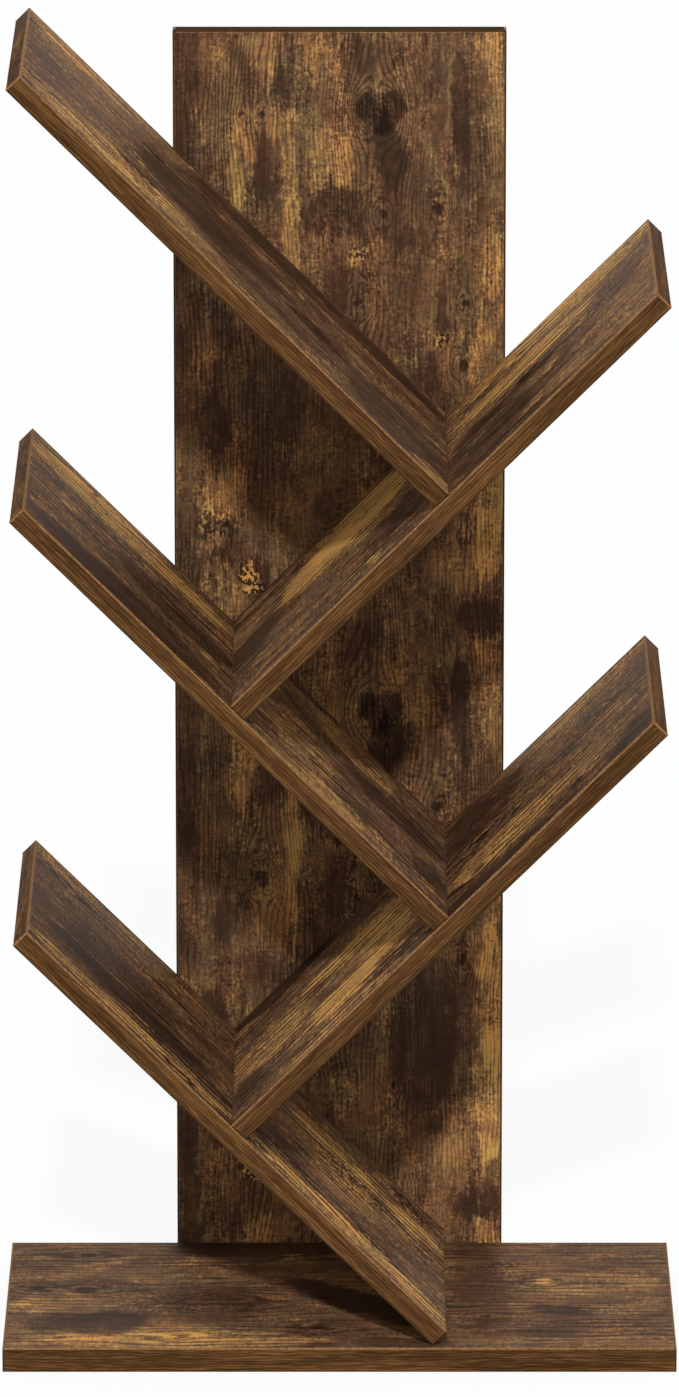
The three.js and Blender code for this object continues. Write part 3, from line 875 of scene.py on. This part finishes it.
def shaded(colour, shade):
    """A colour made darker, or lighter where shade is above 1."""
    return [part * shade for part in colour]


def finish_named(name, make, *how):
    """The finish of that name, made once."""
    return bpy.data.materials.get(name) or make(name, *how)


# modelling helpers


def laid_box(node, lie):
    """Lowest and highest corner of a CAD node in the frame of a piece that lies this way."""
    back = lie.to_matrix().inverted()
    corners = [back @ v.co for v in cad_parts[node].data.vertices]
    low, high = (Vector([reach(c[i] for c in corners) for i in range(3)]) for reach in (min, max))
    return low, high


def deselect_all():
    """Nothing is selected, and the work starts in object mode."""
    if bpy.context.object and bpy.context.object.mode != "OBJECT":
        bpy.ops.object.mode_set(mode="OBJECT")
    bpy.ops.object.select_all(action="DESELECT")


def take(piece):
    """Selects one piece alone, which is then the active one, in object mode."""
    deselect_all()
    piece.select_set(True)
    bpy.context.view_layer.objects.active = piece


def start_edit(piece):
    """Edit mode on one piece alone."""
    take(piece)
    bpy.ops.object.mode_set(mode="EDIT")


def pick(piece, kind, wanted):
    """In edit mode, selects just the verts, edges or faces that wanted() says yes to."""
    bpy.ops.mesh.select_mode(type={"verts": "VERT", "edges": "EDGE", "faces": "FACE"}[kind])
    bpy.ops.mesh.select_all(action="DESELECT")
    shape = bmesh.from_edit_mesh(piece.data)
    for part in getattr(shape, kind):
        if wanted(part):
            part.select_set(True)
    bmesh.update_edit_mesh(piece.data)


def apply_place(piece):
    """Puts the piece's place, turn and size into its mesh."""
    take(piece)
    bpy.ops.object.transform_apply(location=True, rotation=True, scale=True)


def slab_pattern(name, low, high, side, arris, steps):
    """A board or band of the size of a box. It starts at x = 0 and is centred on the x axis. Where side names
    one of its sides, only the arrises round that side are eased; otherwise all of them are."""
    size = high - low
    low = Vector((0, -size.y / 2, -size.z / 2))
    high = low + size
    deselect_all()
    bpy.ops.mesh.primitive_cube_add(size=1, location=(low + high) / 2)
    piece = bpy.context.object
    piece.name = name
    piece.scale = size
    apply_place(piece)
    start_edit(piece)

    def on_arris(edge):
        if side is None:
            return True
        axis, sign = side
        outer = (high if sign > 0 else low)[axis]
        return all(abs(v.co[axis] - outer) < SAME_PLACE for v in edge.verts)

    pick(piece, "edges", on_arris)
    bpy.ops.mesh.bevel(offset=arris, segments=steps, profile=0.5, affect="EDGES")
    bpy.ops.object.mode_set(mode="OBJECT")
    return piece


def turned_pattern(name, profile, sides):
    """A turned piece along x: its end face is extruded and resized through a profile of (x, radius)."""
    deselect_all()
    start, radius = profile[0]
    bpy.ops.mesh.primitive_circle_add(
        vertices=sides, radius=radius, fill_type="NGON", location=(start, 0, 0), rotation=(0, math.pi / 2, 0)
    )
    piece = bpy.context.object
    piece.name = name
    apply_place(piece)
    start_edit(piece)
    bpy.ops.mesh.select_all(action="SELECT")
    for (x, r), (next_x, next_r) in zip(profile, profile[1:]):
        bpy.ops.mesh.extrude_region_move(TRANSFORM_OT_translate={"value": (next_x - x, 0, 0)})
        bpy.ops.transform.resize(value=(1, next_r / r, next_r / r), center_override=(next_x, 0, 0))
    bpy.ops.mesh.select_all(action="SELECT")
    bpy.ops.mesh.normals_make_consistent(inside=False)
    bpy.ops.object.mode_set(mode="OBJECT")
    return piece


def copy_to(pattern, name, node, lie):
    """A copy of the pattern with its own mesh, laid over a CAD node."""
    low, high = laid_box(node, lie)
    piece = pattern.copy()
    piece.data = pattern.data.copy()
    piece.name = piece.data.name = name
    bpy.context.scene.collection.objects.link(piece)
    piece.rotation_euler = lie
    piece.location = lie.to_matrix() @ Vector((low.x, (low.y + high.y) / 2, (low.z + high.z) / 2))
    apply_place(piece)
    return piece


def single_slab(name, node, side, arris, steps):
    """A board or band that lies flat and comes only once."""
    pattern = slab_pattern("slab_pattern", *laid_box(node, FLAT), side, arris, steps)
    piece = copy_to(pattern, name, node, FLAT)
    remove(pattern)
    return piece


def remove(*pieces):
    """Takes patterns and cutters out of the scene."""
    for piece in pieces:
        bpy.data.meshes.remove(piece.data)


def cut(piece, cutters):
    """Cuts the cutters' shapes out of the piece."""
    for cutter in cutters:
        modifier = piece.modifiers.new("bore", "BOOLEAN")
        modifier.operation = "DIFFERENCE"
        modifier.solver = "EXACT"
        modifier.object = cutter
        take(piece)
        bpy.ops.object.modifier_apply(modifier=modifier.name)


def hand_over(piece, node, finishes, slot_of=lambda face: 0):
    """Smooths the piece's rounded arrises, gives it its finishes and its body, each face the finish that
    slot_of(face) says, and lets it stand for its CAD node."""
    take(piece)
    bpy.ops.object.shade_smooth_by_angle(angle=SMOOTH_UP_TO)
    piece.data.materials.clear()
    for finish in finishes:
        piece.data.materials.append(finish)
    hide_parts(node)
    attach(piece, "root")
    for face in piece.data.polygons:
        face.material_index = slot_of(face)


# fasteners and their bores


def fastener_size(node, lie):
    """Length and greatest radius of a CAD screw or dowel."""
    low, high = laid_box(node, lie)
    return high.x - low.x, (high.y - low.y) / 2


def bore_pattern(kind):
    """A cutter along x with the shape of a screw or a dowel and the clearance round it."""
    sizes = bpy.context.scene.bookshelf_sizes
    room = sizes.bore_clearance
    if kind == "dowel":
        length, radius = fastener_size(*FIRST_DOWEL)
        profile = ((-room, radius + room), (length + room, radius + room))
    else:
        length, radius = fastener_size(*FIRST_SCREW)
        head, shank = radius + room, THREAD_CREST + room
        cone_end = HEAD_RIM + head - shank
        profile = ((-CUT_OVERRUN, head), (HEAD_RIM, head), (cone_end, shank), (length + room, shank))
    return turned_pattern(kind + "_bore", profile, sizes.round_sides)


def bores_for(fasteners):
    """Cutters at the fasteners' places. fasteners are pairs of a CAD node and how it lies."""
    patterns = {}
    cutters = []
    for node, lie in fasteners:
        kind = "dowel" if "dowel" in node else "screw"
        if kind not in patterns:
            patterns[kind] = bore_pattern(kind)
        cutters.append(copy_to(patterns[kind], "bore_at_" + node, node, lie))
    remove(*patterns.values())
    return cutters


def joint_fasteners(joint):
    """The screws and the dowel of the joint where branch joint + 1 stands on branch joint."""
    lie = LEANS[BRANCHES[joint + 1]]
    return [(f"joint_{joint}_{part}", lie) for part in ("screw_front", "screw_back", "dowel")]


def back_screws(number):
    """The screws that hold a branch's back edge to the trunk."""
    screw = f"branch_{number}_{BRANCHES[number]}_screw_"
    return [(screw + place, INTO_THE_BACK) for place in ("root", "side")]


JOINTS = (1, 2, 3, 4)
BASE_SCREWS = [(f"base_screw_{place}", INTO_THE_BACK) for place in ("left", "middle", "right")]
TRUNK_SCREWS = BASE_SCREWS + [screw for number in BRANCHES for screw in back_screws(number)]
JOINT_SCREWS = [screw for joint in JOINTS for screw in joint_fasteners(joint)[:2]]
JOINT_DOWELS = [joint_fasteners(joint)[2] for joint in JOINTS]
FIRST_SCREW = BASE_SCREWS[1]
FIRST_DOWEL = JOINT_DOWELS[0]


# the pieces


def dress_core(piece, node, normal, finish):
    """A board's core: printed on the two faces square to normal, raw chipboard on its edges and bores."""
    reach = [v.co @ normal for v in piece.data.vertices]
    ends = min(reach), max(reach)

    def slot_of(face):
        off_face = min(abs(face.center @ normal - end) for end in ends)
        return 0 if abs(face.normal @ normal) > ON_FACE and off_face < FACE_DEPTH else 1

    hand_over(piece, node, (finish, finish_named("chipboard_sawn", raw_chipboard)), slot_of)


def dress_band(piece, node, outward, turn, shade=1.0):
    """An edge band: printed on its outer face, scraped plain on its narrow sides, and drawn lighter on its
    upper arrises as a painted highlight where the key lamp catches them, except on a dark strip."""
    name = f"abs_band_{turn}" + ("" if shade == 1 else "_dark")
    finishes = (
        finish_named(name, printed_band, BAND_TURNS[turn], shade),
        finish_named("abs_band_scraped", scraped_band, 1.0),
        finish_named("abs_band_polished", scraped_band, ARRIS_HIGHLIGHT),
    )

    def slot_of(face):
        turned_out = face.normal @ outward
        if turned_out > ON_OUTER_SIDE:
            return 0
        # painted highlight: upper arrises that face the lamp get the lighter finish
        worn = turned_out > ON_ARRIS and face.normal.z > ON_ARRIS
        return 2 if worn and shade == 1 else 1

    hand_over(piece, node, finishes, slot_of)


def outward_of(side):
    """The direction out of a side, given as its axis and sign."""
    axis, sign = side
    return Vector([sign if i == axis else 0 for i in range(3)])


class BOOKSHELF_OT_base(bpy.types.Operator):
    """Makes the base board with its four edge bands"""

    bl_idname = "bookshelf.base"
    bl_label = "Base"

    def execute(self, context):
        sizes = context.scene.bookshelf_sizes
        board = single_slab("base_board_faced", "base_board", None, sizes.face_arris, 1)
        cutters = bores_for(BASE_SCREWS)
        cut(board, cutters)
        left_front = Vector((CAD_BOX[0].x, CAD_BOX[0].y, laid_box("base_board", FLAT)[1].z))
        finish = rustic_melamine("melamine_base", left_front, FLAT, (1, 1, -1), 3.0, BASE_DECOR)
        dress_core(board, "base_board", Vector((0, 0, 1)), finish)
        turns = {"front": "along_x", "back": "along_x", "left": "along_y", "right": "along_y"}
        for place, turn in turns.items():
            node, side = f"base_band_{place}", SIDES[place]
            band = single_slab(node + "_printed", node, side, sizes.band_arris, sizes.arris_steps)
            if place == "back":
                cut(band, cutters)
            dress_band(band, node, outward_of(side), turn)
        remove(*cutters)
        return {"FINISHED"}


class BOOKSHELF_OT_trunk(bpy.types.Operator):
    """Makes the trunk panel with its three edge bands and the screw bores in its back"""

    bl_idname = "bookshelf.trunk"
    bl_label = "Trunk"

    def execute(self, context):
        sizes = context.scene.bookshelf_sizes
        panel = single_slab("trunk_panel_faced", "trunk_panel", None, sizes.face_arris, 1)
        cutters = bores_for(TRUNK_SCREWS)
        cut(panel, cutters)
        remove(*cutters)
        left, front = laid_box("trunk_band_left", FLAT)[0].x, laid_box("trunk_panel", FLAT)[0].y
        top_left_front = Vector((left, front, laid_box("trunk_band_top", FLAT)[1].z))
        # x runs down the board, y to the right and z into its thickness.
        down = Euler((math.radians(90), math.radians(90), 0))
        finish = rustic_melamine(
            "melamine_trunk", top_left_front, down, (1, 1, 1), 1.0, TRUNK_DECOR, TRUNK_REPEAT
        )
        dress_core(panel, "trunk_panel", Vector((0, 1, 0)), finish)
        for place, turn, shade in (
            ("top", "along_x", TOP_SHADE),
            ("left", "along_z", 1.0),
            ("right", "along_z", 1.0),
        ):
            node, side = f"trunk_band_{place}", SIDES[place]
            band = single_slab(node + "_printed", node, side, sizes.band_arris, sizes.arris_steps)
            dress_band(band, node, outward_of(side), turn, shade)
        return {"FINISHED"}


class BOOKSHELF_OT_branches(bpy.types.Operator):
    """Makes the five branch boards: one is modelled, with its edge bands, and copied to the other places"""

    bl_idname = "bookshelf.branches"
    bl_label = "Branches"

    def execute(self, context):
        sizes = context.scene.bookshelf_sizes
        sides = {"front": SIDES["front"], "back": SIDES["back"], "root": SIDES["left"], "tip": SIDES["right"]}
        lie = LEANS[BRANCHES[1]]
        core = slab_pattern("core_pattern", *laid_box("branch_1_left_board", lie), None, sizes.face_arris, 1)
        bands = {}
        for place, side in sides.items():
            box = laid_box(f"branch_1_left_band_{place}", lie)
            bands[place] = slab_pattern(f"{place}_pattern", *box, side, sizes.band_arris, sizes.arris_steps)
        for number, lean in BRANCHES.items():
            name, lie = f"branch_{number}_{lean}", LEANS[lean]
            turned = lie.to_matrix()
            board = copy_to(core, name + "_board_faced", name + "_board", lie)
            below, above = (joint_fasteners(n) if n in JOINTS else [] for n in (number - 1, number))
            held = {"back": back_screws(number), "root": below, "seat": above}
            bores = {place: bores_for(fasteners) for place, fasteners in held.items()}
            for cutters in bores.values():
                cut(board, cutters)
            # The print's corner: the root end, at the front, on the upper face.
            root, front = laid_box(name + "_band_root", lie)[0].x, laid_box(name + "_band_front", lie)[0].y
            low, high = laid_box(name + "_board", lie)
            upper, into = (high.z, -1) if lean == "right" else (low.z, 1)
            corner = turned @ Vector((root, front, upper))
            finish = rustic_melamine(
                "melamine_" + name, corner, lie, (1, 1, into), 4.0 + number, BRANCH_DECOR[number]
            )
            dress_core(board, name + "_board", turned @ Vector((0, 0, 1)), finish)
            for place, side in sides.items():
                node = f"{name}_band_{place}"
                band = copy_to(bands[place], node + "_printed", node, lie)
                cut(band, bores.get(place, []))
                turn = "up_" + lean if place in ("front", "back") else "along_y"
                dress_band(band, node, turned @ outward_of(side), turn)
            for cutters in bores.values():
                remove(*cutters)
        remove(core, *bands.values())
        return {"FINISHED"}


class BOOKSHELF_OT_screws(bpy.types.Operator):
    """Makes the countersunk screws: one is modelled, with its socket and thread, and copied to every place"""

    bl_idname = "bookshelf.screws"
    bl_label = "Screws"

    def execute(self, context):
        sizes = context.scene.bookshelf_sizes
        length, head = fastener_size(*FIRST_SCREW)
        profile = [
            (0, head - HEAD_ROLL),
            (HEAD_ROLL * 4 / 15, head - HEAD_ROLL / 3),
            (HEAD_ROLL * 2 / 3, head),
            (HEAD_RIM, head),
            (HEAD_RIM + HEAD_CONE, NECK_RADIUS),
            (NECK_END, NECK_RADIUS),
        ]
        turn = THREAD_START
        while turn < length - THREAD_STOP:
            profile += [
                (turn, THREAD_ROOT),
                (turn + 0.4 * sizes.thread_pitch, THREAD_CREST),
                (turn + 0.6 * sizes.thread_pitch, THREAD_ROOT),
            ]
            turn += sizes.thread_pitch
        profile += [(length - back, radius) for back, radius in SCREW_POINT]
        screw = turned_pattern("screw_pattern", profile, sizes.round_sides // 2)
        corner, depth = sizes.socket_corners / 2, sizes.socket_depth
        socket_profile = ((-CUT_OVERRUN, corner), (depth, corner), (depth + SOCKET_CONE, SOCKET_TIP))
        socket = turned_pattern("socket_cutter", socket_profile, SOCKET_SIDES)
        cut(screw, [socket])
        for node, lie in TRUNK_SCREWS + JOINT_SCREWS:
            copy = copy_to(screw, node + "_zinc", node, lie)
            hand_over(copy, node, (finish_named("steel_zinc_plated", zinc_plated_steel),))
        remove(screw, socket)
        return {"FINISHED"}


class BOOKSHELF_OT_dowels(bpy.types.Operator):
    """Makes the fluted beech dowels: one is modelled and copied to the four joints"""

    bl_idname = "bookshelf.dowels"
    bl_label = "Dowels"

    def execute(self, context):
        sides = context.scene.bookshelf_sizes.round_sides
        length, radius = fastener_size(*FIRST_DOWEL)
        end = radius - DOWEL_CHAMFER
        profile = ((0, end), (DOWEL_CHAMFER, radius), (length - DOWEL_CHAMFER, radius), (length, end))
        dowel = turned_pattern("dowel_pattern", profile, sides)

        # Flutes let the glue out: every few lines of points, one is drawn in along the whole dowel.
        def on_flute(vert):
            line = round(math.atan2(vert.co.z, vert.co.y) / (2 * math.pi / sides))
            return line % FLUTE_EVERY == 0 and vert.co.yz.length > radius - SAME_PLACE

        start_edit(dowel)
        pick(dowel, "verts", on_flute)
        bpy.ops.transform.resize(value=(1, FLUTE_FLOOR, FLUTE_FLOOR), center_override=(length / 2, 0, 0))
        bpy.ops.object.mode_set(mode="OBJECT")
        for node, lie in JOINT_DOWELS:
            copy = copy_to(dowel, node + "_beech", node, lie)
            hand_over(copy, node, (finish_named("beech_dowel_rod", turned_beech),))
        remove(dowel)
        return {"FINISHED"}


class BOOKSHELF_OT_stage(bpy.types.Operator):
    """Sets up the white floor, the soft key lamp, the plain sky and the camera"""

    bl_idname = "bookshelf.stage"
    bl_label = "Stage"

    def execute(self, context):
        scene, stage = context.scene, context.scene.bookshelf_stage
        deselect_all()
        bpy.ops.mesh.primitive_plane_add(size=stage.floor_size, location=(0, 0, -stage.floor_gap))
        floor = context.object
        floor.name = "studio_floor"
        apply_place(floor)
        floor.data.materials.append(self.white_floor(stage))
        self.light_sky(scene, stage)

        key = bpy.data.objects.new("key_lamp", bpy.data.lights.new("key_lamp", "SUN"))
        scene.collection.objects.link(key)
        key.data.energy = stage.key_strength
        key.data.angle = stage.key_spread
        level = math.cos(stage.key_height)
        towards = Vector(
            (-math.sin(stage.key_side) * level, -math.cos(stage.key_side) * level, math.sin(stage.key_height))
        )
        key.location = towards * stage.camera_distance
        key.rotation_euler = towards.to_track_quat("Z", "Y").to_euler()

        camera = bpy.data.objects.new("camera", bpy.data.cameras.new("camera"))
        scene.collection.objects.link(camera)
        camera.location = (0, -stage.camera_distance, stage.camera_height)
        look = Vector((0, 0, stage.aim_height)) - camera.location
        camera.rotation_euler = look.to_track_quat("-Z", "Y").to_euler()
        camera.data.lens = stage.lens
        camera.data.clip_end = 2 * stage.floor_size
        scene.camera = camera
        scene.view_settings.view_transform = "Standard"
        return {"FINISHED"}

    def white_floor(self, stage):
        """Matt white studio paper. The camera sees it nearly white all over, with a share of the shadow."""
        finish = bpy.data.materials.new("studio_paper")
        finish.use_nodes = True
        tree = finish.node_tree
        tree.nodes.clear()
        node = partial(add, tree)
        seen = node("LightPath", out="Is Camera Ray")
        paper = node("BsdfDiffuse", {"Color": (*linear("#e6e6e6"), 1)})
        white = node("Emission", {"Color": (1, 1, 1, 1), "Strength": 1.0})
        share = node("Math", (seen, 1 - stage.shadow_keep), operation="MULTIPLY")
        node("OutputMaterial", {"Surface": node("MixShader", (share, paper, white))})
        return finish

    def light_sky(self, scene, stage):
        """A plain pale sky. The camera, reflections and glass see it white; the boards get its light."""
        world = bpy.data.worlds.new("studio_sky")
        scene.world = world
        world.use_nodes = True
        tree = world.node_tree
        tree.nodes.clear()
        node = partial(add, tree)
        seen = node("LightPath", out="Is Camera Ray")
        for ray in ("Is Glossy Ray", "Is Transmission Ray"):
            seen = node("Math", (seen, node("LightPath", out=ray)), operation="MAXIMUM")
        strength = node("MapRange", (seen, 0.0, 1.0, stage.sky_strength, 1.0))
        node("OutputWorld", {"Surface": node("Background", {"Color": (1, 1, 1, 1), "Strength": strength})})


class BOOKSHELF_PT_panel(bpy.types.Panel):
    """The bookshelf's steps and settings"""

    bl_idname = "BOOKSHELF_PT_panel"
    bl_label = "Tree Shaped Bookshelf"
    bl_space_type = "VIEW_3D"
    bl_region_type = "UI"
    bl_category = "Bookshelf"

    def draw(self, context):
        for operator in OPERATORS:
            self.layout.operator(operator.bl_idname)
        for name, group in GROUPS.items():
            column = self.layout.column()
            for setting in group.__annotations__:
                column.prop(getattr(context.scene, name), setting)


OPERATORS = (
    BOOKSHELF_OT_base,
    BOOKSHELF_OT_trunk,
    BOOKSHELF_OT_branches,
    BOOKSHELF_OT_screws,
    BOOKSHELF_OT_dowels,
    BOOKSHELF_OT_stage,
)
GROUPS = {
    "bookshelf_sizes": BookshelfSizes,
    "bookshelf_finish": BookshelfFinish,
    "bookshelf_stage": BookshelfStage,
}
CLASSES = (*GROUPS.values(), *OPERATORS, BOOKSHELF_PT_panel)


def register():
    for cls in CLASSES:
        bpy.utils.register_class(cls)
    for name, group in GROUPS.items():
        setattr(bpy.types.Scene, name, bpy.props.PointerProperty(type=group))


def unregister():
    for name in GROUPS:
        delattr(bpy.types.Scene, name)
    for cls in reversed(CLASSES):
        bpy.utils.unregister_class(cls)


def main():
    """Makes the bookshelf and its stage."""
    register()
    bpy.ops.bookshelf.base()
    bpy.ops.bookshelf.trunk()
    bpy.ops.bookshelf.branches()
    bpy.ops.bookshelf.screws()
    bpy.ops.bookshelf.dowels()
    bpy.ops.bookshelf.stage()
    deselect_all()


if __name__ == "__main__":
    main()
